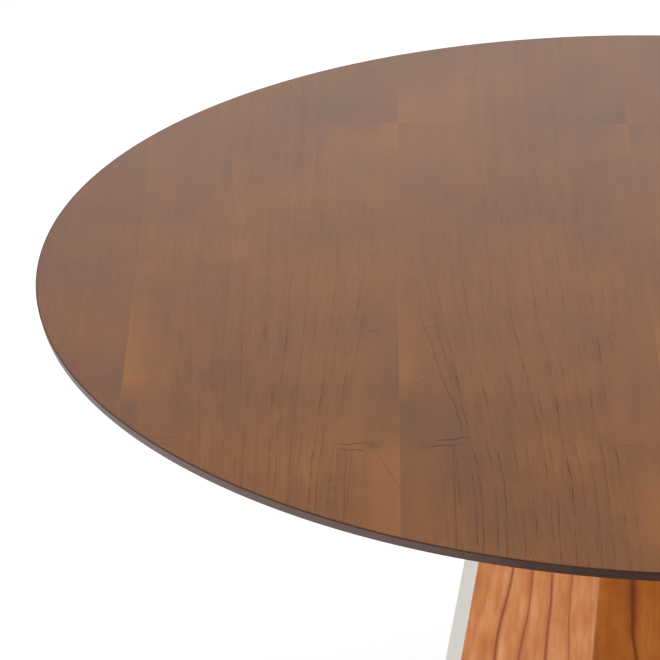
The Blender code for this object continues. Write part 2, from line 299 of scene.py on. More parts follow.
pale_leaf = node("ValToRGB", cloud, stops=[(0.30, "#BE6E3E"), (0.52, "#CB814C"), (0.78, "#DB9964")])
deep_leaf = node("ValToRGB", cloud, stops=[(0.30, "#AD5A1E"), (0.52, "#BF6A25"), (0.78, "#CC7931")])
ground = node("Mix", depth, pale_leaf, deep_leaf, data_type="RGBA")
fine_tone = node("ValToRGB", fine, stops=[(0.30, "#DCCDBD"), (0.60, "#FFFFFF")])
ground = node("Mix", 0.45, ground, fine_tone, data_type="RGBA", blend_type="MULTIPLY")
streak_red = node("Mix", depth, "#823A25", "#702B10", data_type="RGBA")
ground = node("Mix", streak, ground, streak_red, data_type="RGBA")
ground = node("Mix", node("Math", pore, 0.4, operation="MULTIPLY"), ground, "#7A3F1F", data_type="RGBA")
# Painted highlight: the wood is painted paler along the arrises, for the light that their rounding catches
half = node("Math", axes.outputs["Z"], -TAPER * tan(HALF_TURN), BASE_CORNER * sin(HALF_TURN),
            operation="MULTIPLY_ADD")
inset = node("Math", half, node("Math", axes.outputs["Y"], operation="ABSOLUTE"), operation="SUBTRACT")
arris_highlight = node("MapRange", inset, 0.0004, 0.0016, 0.35, 0.0)
ground = node("Mix", arris_highlight, ground, "#E3B387", data_type="RGBA")
rough = node("MapRange", fine, 0.0, 1.0, 0.36, 0.48)
relief = node("Math", pore, -0.6, fine, operation="MULTIPLY_ADD")
bump = node("Bump", Height=relief, Strength=0.12, Distance=0.0003)
join(shader, Base_Color=ground, Roughness=rough, Normal=bump)


def coat(name, roughness, drift, colours, shine, grain, relief, **sockets):
    """A finish whose tone and shine drift softly, over a grain in relief. Drift and grain are each the size,
    detail and roughness of a pattern, shine is the span of the surface's roughness, and relief is
    (strength, depth)."""
    made, node, shader, spot = finish(name, roughness, **sockets)
    soft, fine = (
        node("TexNoise", Vector=spot, Scale=1 / size, Detail=detail, Roughness=rough)
        for size, detail, rough in (drift, grain))
    colour = node("ValToRGB", soft, stops=colours)
    rough = node("MapRange", soft, 0.0, 1.0, *shine)
    bump = node("Bump", Height=fine, Strength=relief[0], Distance=relief[1])
    join(shader, Base_Color=colour, Roughness=rough, Normal=bump)
    return made


# Off-white polyurethane lacquer, sprayed on sealed MDF: an even satin film with a faint orange peel
ORANGE_PEEL = (0.0035, 1.0, 0.5)
off_white = coat(
    "off_white_lacquer_sprayed", 0.38, drift=(0.12, 2.0, 0.5), colours=[(0.3, "#DBD6CD"), (0.7, "#E1DCD3")],
    shine=(0.32, 0.44), grain=ORANGE_PEEL, relief=(0.08, 0.0002), IOR=1.5)


def bored(piece, *holes):
    """Drills holes into a piece, each a (radius, mouth, end) in its own axes. They show the second finish."""
    drills = bmesh.new()
    for radius, mouth, end in holes:
        way = end - mouth
        place = Matrix.Translation((mouth + end) / 2) @ way.to_track_quat("Z", "Y").to_matrix().to_4x4()
        bmesh.ops.create_cone(drills, cap_ends=True, segments=32, radius1=radius, radius2=radius,
                              depth=way.length, matrix=place)
    for each in drills.faces:
        each.material_index = 1
    drill = shown("drill", drills)
    drill.rotation_euler = piece.rotation_euler
    cut = piece.modifiers.new("holes", "BOOLEAN")
    cut.solver = "EXACT"
    cut.object = drill
    solid = piece.data
    piece.data = bpy.data.meshes.new_from_object(piece.evaluated_get(bpy.context.evaluated_depsgraph_get()))
    piece.modifiers.clear()
    for spare in (drill.data, solid):
        bpy.data.meshes.remove(spare)


HOLE_END = 0.0005
DOWEL_HOLE_R = 0.0043
dowel_holes = []
for end in ("top", "bottom"):
    inner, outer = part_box(f"{end}_dowel_1")
    level = (inner.z + outer.z) / 2
    mouth = Vector((inner.x, 0.0, level))
    dowel_holes.append((DOWEL_HOLE_R, mouth, Vector((outer.x + HOLE_END, 0.0, level))))

# Each panel's slot and finish, then its leaf: where it was cut, which way up it is and how deep its colour is
PANEL_FINISHES = {
    "right": ("pale_lacquer", off_white, 0.0, 1.0, 0.0),
    "back_right": ("orange_veneer", teak, 0.71, -1.0, 0.3),
    "back": ("orange_veneer", teak, 1.33, 1.0, 0.7),
    "back_left": ("orange_veneer", teak, 2.18, -1.0, 0.15),
    "left": ("pale_lacquer", off_white, 0.0, 1.0, 0.0),
    "front_left": ("orange_veneer", teak, 0.0, 1.0, 0.0),
    "front": ("orange_veneer", teak, 3.81, -1.0, 1.0),
    "front_right": ("orange_veneer", teak, 4.59, 1.0, 0.4),
}
for number, (side, (slot, face, *leaf_of_panel)) in enumerate(PANEL_FINISHES.items()):
    board = bmesh.new()
    bmesh.ops.create_cube(board, size=2.0)
    for corner in board.verts:
        z = PANEL_HIGH if corner.co.z > 0 else PANEL_LOW
        out = panel_face(z) - (0.0 if corner.co.x > 0 else PANEL_LEVEL)
        mitre = out * tan(HALF_TURN) - GLUE_LINE
        corner.co = (out, mitre if corner.co.y > 0 else -mitre, z)
    outside = [e for e in board.edges if all(v.co.x > panel_face(v.co.z) - PANEL / 2 for v in e.verts)]
    bmesh.ops.bevel(board, geom=outside, offset=PANEL_EASE, segments=3, profile=0.5, affect="EDGES")
    board.normal_update()
    for face_of_board in board.faces:
        face_of_board.smooth = face_of_board.calc_area() < FLAT_AREA
        face_of_board.material_index = 0 if face_of_board.normal.x > 0.3 else 1
    piece = shown(f"{side}_panel", board, face, mdf)
    piece.rotation_euler.z = number * 2 * HALF_TURN
    bored(piece, *dowel_holes)
    piece["leaf_shift"], piece["leaf_turn"], piece["leaf_depth"] = leaf_of_panel
    stand_for(piece, f"panel_{side}", "table")


# Tee nuts: four flanged sleeves pressed into the bottom former, which the levelling feet screw into.
# Pressed steel, zinc plated.

# Zinc plate, bright passivated: a soft grey metal with a cloudy, faintly blue sheen
zinc = coat(
    "zinc_plated_steel", 0.34, drift=(0.003, 4.0, 0.5),
    colours=[(0.30, "#A6A9AC"), (0.55, "#BFC3C7"), (0.75, "#CBCDD2")], shine=(0.26, 0.46),
    grain=(0.0004, 2.0, 0.5), relief=(0.12, 0.0001), Metallic=1.0)


def eased(corners, steps=3):
    """The (radius, height) points of a profile, with each corner of (radius, height, ease) rounded off."""
    points = []
    for k, (r, z, ease) in enumerate(corners):
        here = Vector((r, z))
        if not ease:
            points.append((r, z))
            continue
        before = here + (Vector(corners[k - 1][:2]) - here).normalized() * ease
        after = here + (Vector(corners[(k + 1) % len(corners)][:2]) - here).normalized() * ease
        for step in range(steps + 1):
            t = step / steps
            spot = before.lerp(here, t).lerp(here.lerp(after, t), t)
            points.append((spot.x, spot.y))
    return points


def four_of(made, name, material, cad_name, body, sharp):
    """Shows a turned piece on the axis of each of four CAD nodes, in their place."""
    for number in range(1, 5):
        cad_node = f"{cad_name}_{number}"
        middle = sum(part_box(cad_node), Vector()) / 2
        bm = made.copy()
        bmesh.ops.translate(bm, vec=(middle.x, middle.y, 0.0), verts=bm.verts)
        stand_for(shown(f"{name}_{number}", bm, material), cad_node, body.format(number), sharp)
    made.free()


NUT_LOW, NUT_TOP = levels("foot_nut_1")
NUT_FLANGE = 0.0015
NUT_FLANGE_R = 0.011
NUT_BARREL_R = 0.0052
NUT_BORE_R = 0.0043
NUT_STEPS = 48
nut = spun(eased([
    (NUT_BARREL_R, NUT_TOP, 0.0003), (NUT_BARREL_R, NUT_LOW + NUT_FLANGE, 0.0004),
    (NUT_FLANGE_R, NUT_LOW + NUT_FLANGE, 0.0005), (NUT_FLANGE_R, NUT_LOW, 0.0005),
    (NUT_BORE_R, NUT_LOW, 0.0006), (NUT_BORE_R, NUT_TOP, 0.0003)]), NUT_STEPS, ring=True)
four_of(nut, "tee_nut", zinc, "foot_nut", "table", sharp=40)


# Levelling stems: four M8 threaded rods with a hexagon collar for a spanner, each turning in its tee nut.
# Cold-headed steel with a rolled thread, zinc plated.
STEM_LOW, STEM_TOP = levels("foot_stem_1")
STEM_R = 0.004
PITCH = 0.00125
THREAD_DEPTH = 0.00065
COLLAR = 0.006
COLLAR_FLAT = 0.0065
COLLAR_UNDER = levels("foot_pad_1")[1] + 0.0003
COLLAR_TOP = COLLAR_UNDER + COLLAR
STEM_STEPS = 48


def hexagon(flat, steps):
    """The reach of a hexagon at each step round it, given the distance from its middle to a flat."""
    return [flat / cos(2 * pi * k / steps % (pi / 3) - pi / 6) for k in range(steps)]


def threaded(rings, steps, root, crest, pitch, start, stop, tip, tip_share=0.8):
    """A closed skin from the bottom up: rings, a rolled thread, and a tip whose end has a share of the
    root's radius. A ring is (radius, height), or has a list with a radius for each step. The thread climbs
    one pitch a turn and runs out to the root at both ends."""
    bm = bmesh.new()

    def row(places):
        made = []
        for k, (r, z) in enumerate(places):
            angle = 2 * pi * k / steps
            made.append(bm.verts.new((r * cos(angle), r * sin(angle), z)))
        return made

    def ring(reach, z):
        reaches = reach if isinstance(reach, list) else [reach] * steps
        return row((r, z) for r in reaches)

    def skin(rows, closed):
        for low, high in zip(rows, rows[1:]):
            for k in range(steps):
                n = (k + 1) % steps if closed else k + 1
                bm.faces.new((low[k], low[n], high[n], high[k]))

    below = [ring(*each) for each in rings + [(root, start)]]
    bm.faces.new(reversed(below[0]))
    skin(below, closed=True)
    thread = []
    for j in range(-4, 4 * (int((stop - start) / pitch) + 1) + 1):
        places = []
        for k in range(steps + 1):
            z = min(max(start + pitch * (j / 4 + k / steps), start), stop)
            fade = min(1.0, (z - start) / pitch, (stop - z) / pitch)
            lift = fade if j % 4 > 1 else 0.0
            places.append((root + (crest - root) * lift, z))
        thread.append(row(places))
    skin(thread, closed=False)
    above = [ring(root, stop), ring(root * tip_share, tip)]
    skin(above, closed=True)
    bm.faces.new(above[-1])
    bmesh.ops.remove_doubles(bm, verts=bm.verts, dist=2e-6)
    bmesh.ops.dissolve_degenerate(bm, edges=bm.edges, dist=1e-7)
    for each in bm.faces:
        each.smooth = True
    bm.normal_update()
    return bm


TIP = 0.0008
COLLAR_FACE_R = 0.00645
COLLAR_EASE_R = 0.0071
COLLAR_CORNER_R = 0.008
stem_rings = [(STEM_R - TIP, STEM_LOW), (STEM_R, STEM_LOW + TIP), (STEM_R, COLLAR_UNDER)]
# Each (height, reach): the collar's corners are chamfered, so the reach of its flats is limited near its ends
for z, reach in (
    (COLLAR_UNDER, COLLAR_FACE_R), (COLLAR_UNDER + 0.0004, COLLAR_EASE_R),
    (COLLAR_UNDER + 0.0007, COLLAR_CORNER_R), (COLLAR_TOP - 0.0007, COLLAR_CORNER_R),
    (COLLAR_TOP - 0.0004, COLLAR_EASE_R), (COLLAR_TOP, COLLAR_FACE_R),
):
    stem_rings.append(([min(flat, reach) for flat in hexagon(COLLAR_FLAT, STEM_STEPS)], z))
stem = threaded(
    stem_rings, STEM_STEPS, STEM_R - THREAD_DEPTH, STEM_R, PITCH, COLLAR_TOP, STEM_TOP - TIP, STEM_TOP)
four_of(stem, "levelling_stem", zinc, "foot_stem", "stem_{}", sharp=35)


# Foot pads: four round feet that the stems swivel in, which stand on the floor.
# Injection-moulded polypropylene with a fluted rim to grip.

# Black polypropylene, moulded in a spark-eroded tool: matt black with a fine even grit and a few pale scuffs
polypropylene = coat(
    "polypropylene_moulded", 0.55, drift=(0.006, 5.0, 0.7),
    colours=[(0.45, "#1B1B1C"), (0.66, "#242425"), (0.78, "#3A3A3A")], shine=(0.48, 0.7),
    grain=(0.0004, 2.0, 0.5), relief=(0.25, 0.0001), IOR=1.49)

PAD_R = 0.017
PAD_TOP = levels("foot_pad_1")[1]
SOCKET_FLOOR = PAD_TOP - 0.006
PAD_SHOULDER = 0.004
PAD_SHOULDER_EASE = 0.0012
PAD_BOSS_R = 0.0085
PAD_BORE_R = 0.0043
PAD_FLUTES = 24
PAD_FLUTE = 0.0005
FLUTES_FROM = 0.0007


def fluted(r, z, angle):
    """The rim's radius: shallow flutes run round it between the floor's arris and the shoulder."""
    if r < PAD_R - PAD_SHOULDER_EASE or z < FLUTES_FROM:
        return r
    return r - PAD_FLUTE * (0.5 - 0.5 * cos(PAD_FLUTES * angle)) ** 2


pad = spun(eased([
    (0.0, SOCKET_FLOOR, 0), (PAD_BORE_R, SOCKET_FLOOR, 0.0003), (PAD_BORE_R, PAD_TOP, 0.0004),
    (PAD_BOSS_R, PAD_TOP, 0.0008), (PAD_R, PAD_SHOULDER, PAD_SHOULDER_EASE), (PAD_R, 0.0, 0.0006),
    (0.0, 0.0, 0)], steps=4), PAD_FLUTES * 8, radius_at=fluted)
four_of(pad, "levelling_pad", polypropylene, "foot_pad", "pad_{}", sharp=35)


# Mounting plate: an octagonal board that spreads the pedestal's neck under the top, drilled for fasteners.
# 18 mm MDF, sprayed with dark brown lacquer all over, its arrises sanded off.

# Dark brown lacquer, sprayed on sealed MDF: a near-black brown satin film with faint orange peel
dark_lacquer = coat(
    "dark_brown_lacquer_sprayed", 0.42, drift=(0.07, 3.0, 0.5), colours=[(0.3, "#382720"), (0.7, "#483227")],
    shine=(0.36, 0.5), grain=ORANGE_PEEL, relief=(0.1, 0.0002), IOR=1.5)

PLATE_EASE = 0.0012
plate = bmesh.new()
plate.from_mesh(nodes["mounting_plate"].data)
bmesh.ops.remove_doubles(plate, verts=plate.verts, dist=1e-6)
bmesh.ops.dissolve_limit(plate, angle_limit=radians(1), verts=plate.verts, edges=plate.edges)
rim = max(v.co.xy.length for v in plate.verts)
outside = [e for e in plate.edges if all(v.co.xy.length > rim - 0.001 for v in e.verts)]
bmesh.ops.bevel(plate, geom=outside, offset=PLATE_EASE, segments=3, profile=0.5, affect="EDGES")
for each in plate.faces:
    each.smooth = each.calc_area() < FLAT_AREA
stand_for(shown("neck_plate", plate, dark_lacquer), "mounting_plate", "table", sharp=30)


# Screws: four countersunk wood screws, driven down through the plate into the top former.
# Hardened steel with a hexagon socket, a coarse rolled thread and a sharp point, zinc plated.
SCREW_LOW, SCREW_TOP = levels("plate_screw_1")
SCREW_LENGTH = SCREW_TOP - SCREW_LOW
SCREW_R = 0.00225
SCREW_ROOT_R = 0.0016
SCREW_HEAD_R = 0.0045
SCREW_SHANK = 0.014
SCREW_PITCH = 0.0018
SCREW_POINT = 0.004
SCREW_KEY_FLAT = 0.0015
SCREW_KEY_DEPTH = 0.0014
SCREW_EASE = 0.0002
SCREW_TIP_SHARE = 0.12
SCREW_STEPS = 48
key = hexagon(SCREW_KEY_FLAT, SCREW_STEPS)
# Made point up, with its head's face at zero, and turned over at the end
screw_rings = [
    (key, SCREW_KEY_DEPTH), (key, SCREW_EASE), ([r + SCREW_EASE for r in key], 0.0),
    (SCREW_HEAD_R - SCREW_EASE, 0.0), (SCREW_HEAD_R, SCREW_EASE),
    (SCREW_R, SCREW_HEAD_R - SCREW_R + SCREW_EASE), (SCREW_R, SCREW_SHANK - SCREW_EASE * 2)]
screw = threaded(screw_rings, SCREW_STEPS, SCREW_ROOT_R, SCREW_R, SCREW_PITCH, SCREW_SHANK,
                 SCREW_LENGTH - SCREW_POINT, SCREW_LENGTH, SCREW_TIP_SHARE)
bmesh.ops.rotate(screw, matrix=Matrix.Rotation(pi, 3, "X"), verts=screw.verts)
bmesh.ops.translate(screw, vec=(0.0, 0.0, SCREW_TOP), verts=screw.verts)
four_of(screw, "wood_screw", zinc, "plate_screw", "table", sharp=30)


# Table top: a round board whose edge leans in below the face, with a wide bevel that thins it to the rim.
# 24 mm MDF, turned on its edge, sealed and sprayed dark brown on the edge and underneath.
TOP_RADIUS = 0.600
TOP_STEPS = 720
BOARD_UNDER, BOARD_TOP = levels("table_top")
VENEER_UNDER = levels("top_veneer")[0]
EDGE_LOW = TABLE_HEIGHT - 0.009
EDGE_LEAN = 0.002
EDGE_INSET = 0.0004
EDGE_EASE = 0.0003
BEVEL_WIDTH = 0.060
BEVEL_EASE = 0.004
INSERT_HOLE_R = 0.0053
DRILL_PAST = 0.004

# Walnut-brown lacquer on the turned edge: satin, with the fibre lines of the board faintly through it
FIBRE_LENGTH = 0.02
FIBRE = 0.0009
EDGE_DRIFT = 0.05
edge_lacquer, node, shader, spot = finish(
    "walnut_brown_lacquer_on_turned_edge", 0.26, IOR=1.5, Specular_IOR_Level=0.8)
lines_at = node("Mapping", Vector=spot, Scale=(1 / FIBRE_LENGTH, 1 / FIBRE_LENGTH, 1 / FIBRE))
lines = node("TexNoise", Vector=lines_at, Scale=1.0, Detail=2.0)
drift = node("TexNoise", Vector=spot, Scale=1 / EDGE_DRIFT, Detail=3.0)
ground = node("ValToRGB", drift, stops=[(0.3, "#412419"), (0.7, "#4E2B1D")])
tone = node("ValToRGB", lines, stops=[(0.3, "#C8BEB8"), (0.65, "#FFFFFF")])
colour = node("Mix", 0.8, ground, tone, data_type="RGBA", blend_type="MULTIPLY")
rough = node("MapRange", drift, 0.0, 1.0, 0.2, 0.32)
bump = node("Bump", Height=lines, Strength=0.08, Distance=0.0002)
join(shader, Base_Color=colour, Roughness=rough, Normal=bump)

board = spun(eased([
    (0.0, BOARD_TOP, 0), (TOP_RADIUS - EDGE_INSET, BOARD_TOP, 0.0),
    (TOP_RADIUS - EDGE_LEAN, EDGE_LOW, EDGE_EASE), (TOP_RADIUS - BEVEL_WIDTH, BOARD_UNDER, BEVEL_EASE),
    (0.0, BOARD_UNDER, 0)], steps=4), TOP_STEPS)
piece = shown("round_board", board, edge_lacquer, mdf)
insert_holes = []
for number in range(1, 5):
    low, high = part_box(f"top_insert_{number}")
    middle = (low + high) / 2
    mouth = Vector((middle.x, middle.y, low.z - DRILL_PAST))
    insert_holes.append((INSERT_HOLE_R, mouth, Vector((middle.x, middle.y, high.z + HOLE_END))))
bored(piece, *insert_holes)
stand_for(piece, "table_top", "table", sharp=25)


# Veneer sheet: bookmatched leaves 115 to 122 mm wide, end-jointed across the back, pressed on the board.
# Crown-cut teak about 1 mm thick with its backer, stained walnut brown, sanded at the arris and sealed satin.

# Stained teak veneer, satin lacquered: brown with thin dark growth lines that spread from every second seam,
# a painted sheen turning orange to grey-brown where the leaves flip, soft blotches and a few cross checks
LEAF = 0.1155
WIDE_LEAF = 0.122
MIDDLE_SEAM = -0.2625
GRAIN_TURN = radians(-1.1)
END_JOINT = 0.354
OUTER_LEAF = -5.0
PLAIN_LEAF = -1.0
LINE_SPACING = 0.0125
LINE_WIDTH = 0.0010
LINE_BREAK = 0.05
WIGGLE_WIDTH = 0.012
WIGGLE_LENGTH = 0.045
SWING_WIDTH = 0.06
SWING_LENGTH = 0.30
LEAN_RIGHT = 0.52
LEAN_LEFT = 0.95
LEAN_CURVE = 0.5
LEAN_FROM = 0.40
LEAN_TO = 0.80
FAINT_FROM = -0.50
FAINT_TO = -0.36
FINE_LINE = 0.0016
FINE_LENGTH = 0.05
BLOTCH = 0.14
BAND_WIDTH = 0.011
BAND_LENGTH = 0.22
KNOT = 0.008
KNOT_SIDE = 0.0225
KNOT_RUN = 0.725
SPECK_SPACING = 0.11
SPECK = 0.0008
stained, node, shader, spot = finish("stained_teak_veneer_satin_lacquered", 0.36, IOR=1.5)
sheet = node("Mapping", Vector=spot, Rotation=(0.0, 0.0, GRAIN_TURN))
axes = node("SeparateXYZ", sheet)
wide = node("Math", axes.outputs["X"], MIDDLE_SEAM, operation="LESS_THAN")
width = node("MapRange", wide, 0.0, 1.0, LEAF, WIDE_LEAF)
from_seam = node("Math", axes.outputs["X"], MIDDLE_SEAM, operation="SUBTRACT")
leaf = node("Math", from_seam, width, operation="DIVIDE")
leaf = node("Math", leaf, 2.0, operation="SUBTRACT")
inleaf = node("Math", leaf, 1.0, operation="PINGPONG")
whole = node("Math", leaf, operation="FLOOR")
odd = node("Math", whole, 1.0, operation="PINGPONG")
past = node("Math", END_JOINT, axes.outputs["Y"], operation="SUBTRACT")
run = node("Math", past, operation="ABSOLUTE")
end_flip = node("Math", past, operation="SIGN")
side = node("Math", inleaf, width, operation="MULTIPLY")
slice_of = node("Math", whole, 0.12, operation="MULTIPLY")
figure = node("CombineXYZ", side, run, slice_of)

# The figured wedge beside each figured seam, which opens towards the front and has few growth lines
wiggle_at = node(
    "Mapping", Vector=figure, Scale=(1 / WIGGLE_WIDTH, 1 / WIGGLE_LENGTH, 1.0), Location=(3.0, 1.0, 2.0))
wiggle = node("TexNoise", Vector=wiggle_at, Scale=1.0, Detail=2.0)
wedge_edge = node("ValToRGB", run, stops=[
    (0.10, 0.56), (0.25, 0.10), (0.33, 0.0), (0.70, 0.48), (0.74, 0.27)])
wedge_edge = node("Math", wiggle, 0.06, wedge_edge, operation="MULTIPLY_ADD")
wedge_edge = node("Math", wedge_edge, 0.03, operation="SUBTRACT")
inside = node("Math", inleaf, wedge_edge, operation="SUBTRACT")

# Growth lines: straight at the back, then leaning away from the figured seam. Right of the middle seam they
# lean the same way over two leaves
line_width = node("MapRange", wide, 0.0, 1.0, 2 * LEAF, WIDE_LEAF)
across = node("Math", from_seam, line_width, operation="DIVIDE")
across = node("Math", across, 1.0, operation="PINGPONG")
onward = node("Math", run, LEAN_FROM, operation="SUBTRACT")
onward = node("Math", onward, 0.0, 0.15, operation="SMOOTH_MAX")
onward = node("Math", onward, LEAN_TO - LEAN_FROM, 0.1, operation="SMOOTH_MIN")
rest = node("Math", 1.0, across, operation="SUBTRACT")
leaning = node("MapRange", wide, 0.0, 1.0, LEAN_RIGHT, LEAN_LEFT)
onward = node("Math", onward, leaning, operation="MULTIPLY")
bulge = node("Math", across, LEAN_CURVE, 1.0, operation="MULTIPLY_ADD")
lean = node("Math", rest, bulge, operation="MULTIPLY")
lean = node("Math", lean, onward, operation="MULTIPLY")
closer = node("Math", across, 2 * LEAN_CURVE, 1 - LEAN_CURVE, operation="MULTIPLY_ADD")
stretch = node("Math", closer, onward, 1.0, operation="MULTIPLY_ADD")
spacing = node("Math", LINE_SPACING, stretch, operation="DIVIDE")
slant = node("Math", across, lean, operation="SUBTRACT")
slant = node("Math", slant, line_width, operation="MULTIPLY")
swing_at = node("Mapping", Vector=figure, Scale=(1 / SWING_WIDTH, 1 / SWING_LENGTH, 1.0))
swing = node("TexNoise", Vector=swing_at, Scale=1.0, Detail=1.0)
phase = node("Math", slant, 1 / LINE_SPACING, 40.0, operation="MULTIPLY_ADD")
phase = node("Math", swing, 1.2, phase, operation="MULTIPLY_ADD")
phase = node("Math", wiggle, 0.36, phase, operation="MULTIPLY_ADD")
share = node("Math", phase, operation="FRACT")
ring = node("Math", phase, operation="FLOOR")
line_pick = node("TexWhiteNoise", W=ring, noise_dimensions="1D")
second_pick = node("SeparateColor", line_pick.outputs["Color"]).outputs["Green"]
line_at = node("MapRange", second_pick, 0.0, 1.0, 0.2, 0.8)
away = node("Math", share, line_at, operation="SUBTRACT")
away = node("Math", away, spacing, operation="MULTIPLY")
near = node("Math", away, operation="ABSOLUTE")
line = node("MapRange", near, LINE_WIDTH * 0.35, LINE_WIDTH * 1.1, 1.0, 0.0)
shade_of = node("MapRange", away, -4 * LINE_WIDTH, 0.0, 0.0, 0.3)
shade_of = node("Math", shade_of, node("Math", away, 0.0, operation="LESS_THAN"), operation="MULTIPLY")
line = node("Math", line, shade_of, operation="MAXIMUM")
line_power = node("MapRange", line_pick, 0.1, 0.8, 0.35, 0.95)
fade_at = node("CombineXYZ", ring, node("Math", run, 1 / LINE_BREAK, operation="MULTIPLY"), slice_of)
fade = node("TexNoise", Vector=fade_at, Scale=0.9, Detail=3.0, Roughness=0.75)
fade = node("MapRange", fade, 0.42, 0.62, 0.06, 1.05)
dense = node("MapRange", inside, -0.04, 0.08, 0.06, 1.0)
beside = node("MapRange", inleaf, 0.05, 0.55, 0.5, 1.0)
bold = node("MapRange", run, 0.10, 0.75, 0.4, 1.25)
# The leaves at the left were sliced farther from the heart, where the lines are faint
faint = node("MapRange", axes.outputs["X"], FAINT_FROM, FAINT_TO, 0.3, 1.0)
# Where the lines crowd together, each is finer
crowded = node("MapRange", stretch, 1.3, 1.8, 1.0, 0.75)
power = line_power
for factor in (fade, dense, beside, bold, faint, crowded):
    power = node("Math", power, factor, operation="MULTIPLY")
line = node("Math", line, power, operation="MULTIPLY")
early = node("MapRange", away, LINE_WIDTH * 0.5, LINE_WIDTH * 3, 1.0, 0.0)
right_of = node("Math", away, LINE_WIDTH * 0.5, operation="GREATER_THAN")
for factor in (right_of, power):
    early = node("Math", early, factor, operation="MULTIPLY")

# Fine pores between the lines
fine_at = node(
    "CombineXYZ", node("Math", phase, LINE_SPACING / FINE_LINE / 2, operation="MULTIPLY"),
    node("Math", run, 1 / FINE_LENGTH, operation="MULTIPLY"), leaf)
fine = node("TexNoise", Vector=fine_at, Scale=1.0, Detail=2.0, Roughness=0.6)

# Cross checks: short dark splits across the grain on both sides of the figured seams, beside a small knot.
# Each is (leaf, from, to, run, rise, darkness), where leaf 0 is right of the seam and leaf 1 is left of it
on_leaf = (node("Math", 1.0, odd, operation="SUBTRACT"), odd)
knot_at = node(
    "CombineXYZ", node("Math", side, KNOT_SIDE, operation="SUBTRACT"),
    node("Math", run, KNOT_RUN, operation="SUBTRACT"))
knot_at = node("Mapping", Vector=knot_at, Scale=(1 / KNOT, 0.6 / KNOT, 1.0))
knot_far = node("VectorMath", knot_at, operation="LENGTH")
knot_far = node("Math", wiggle, 0.9, knot_far, operation="MULTIPLY_ADD")
knot_dark = node("MapRange", odd, 0.0, 1.0, 0.16, 0.3)
checks = node("MapRange", knot_far, 0.4, 1.5, knot_dark, 0.0, **SOFT)
for which, near, far, at, rise, dark in (
    (0, 0.030, 0.064, 0.7110, -0.17, 0.75), (0, 0.024, 0.057, 0.7225, -0.17, 0.8),
    (0, 0.027, 0.038, 0.754, 0.0, 0.4), (0, 0.018, 0.038, 0.486, -0.3, 0.45),
    (1, 0.026, 0.058, 0.7165, 0.10, 0.7), (1, 0.028, 0.056, 0.7315, -0.15, 0.75),
    (1, 0.016, 0.036, 0.488, 0.15, 0.55),
):
    middle = node("Math", side, rise, at - rise * near, operation="MULTIPLY_ADD")
    middle = node("Math", wiggle, 0.008, middle, operation="MULTIPLY_ADD")
    off = node("Math", node("Math", run, middle, operation="SUBTRACT"), operation="ABSOLUTE")
    split = node("MapRange", off, 0.0003, 0.0013, dark, 0.0)
    into = node("MapRange", side, near, near + 0.004)
    outof = node("MapRange", side, far - 0.014, far, 1.0, 0.0)
    for factor in (into, outof, on_leaf[which]):
        split = node("Math", split, factor, operation="MULTIPLY")
    checks = node("Math", split, checks, operation="MAXIMUM")
# Growth lines run on from the checks to the rim, each (distance from the seam, slope, run it starts at,
# darkness on the leaf right of the seam, and on the one left of it)
for at, slope, start, *dark_by_leaf in ((0.046, 0.0, 0.722, 0.3, 0.25), (0.018, -0.28, 0.739, 0.0, 0.28)):
    onward = node("Math", run, start, operation="SUBTRACT")
    upright = node("Math", wiggle, 0.003, at - 0.0015, operation="MULTIPLY_ADD")
    upright = node("Math", onward, slope, upright, operation="MULTIPLY_ADD")
    off = node("Math", node("Math", side, upright, operation="SUBTRACT"), operation="ABSOLUTE")
    dark = node("MapRange", odd, 0.0, 1.0, *dark_by_leaf)
    split = node("MapRange", off, 0.0002, 0.0011, dark, 0.0)
    into = node("MapRange", onward, 0.0, 0.008)
    split = node("Math", split, into, operation="MULTIPLY")
    checks = node("Math", split, checks, operation="MAXIMUM")

# Painted sheen: the turn of the sheen beside each figured seam, painted into the colour by distance from the
# end joint, on the leaf right of the seam and on the one left of it. Half is no turn, more is light and less
# is dark
sheen_right = node("ValToRGB", run, stops=[
    (0.0, 0.2), (0.05, 0.35), (0.09, 0.5), (0.42, 0.5), (0.50, 0.9), (0.595, 1.0), (0.645, 0.08),
    (0.80, 0.44)])
sheen_left = node("ValToRGB", run, stops=[
    (0.0, 0.85), (0.06, 0.7), (0.10, 0.5), (0.50, 0.45), (0.60, 0.1), (0.62, 0.15), (0.65, 0.5),
    (0.70, 0.55), (0.745, 0.95)])
sheen = node("Mix", odd, sheen_right, sheen_left, data_type="FLOAT")
sheen = node("Math", sheen, 2.0, -1.0, operation="MULTIPLY_ADD")
wedge_far = node("Math", wedge_edge, 0.06, operation="ADD")
wedge = node("MapRange", inleaf, wedge_edge, wedge_far, 1.0, 0.0, **SOFT)
off = node("Math", node("Math", inside, operation="ABSOLUTE"), LEAF, operation="MULTIPLY")
wedge_power = node("MapRange", odd, 0.0, 1.0, 0.3, 0.12)
split = node("MapRange", off, LINE_WIDTH * 0.3, LINE_WIDTH * 1.2, wedge_power, 0.0)
into = node("MapRange", run, 0.40, 0.52)
outof = node("MapRange", run, 0.68, 0.71, 1.0, 0.0)
for factor in (into, outof):
    split = node("Math", split, factor, operation="MULTIPLY")
checks = node("Math", split, checks, operation="MAXIMUM")
# Splits are deepest in the two leaves beside the middle seam, and nearly closed in the others
deepest = node("Math", whole, -2.5, 0.6, operation="COMPARE")
check_power = node("MapRange", deepest, 0.0, 1.0, 0.35, 1.0)
checks = node("Math", checks, check_power, operation="MULTIPLY")
by_seam = node("MapRange", side, 0.0, 0.030, 1.55, 0.36, **SOFT)
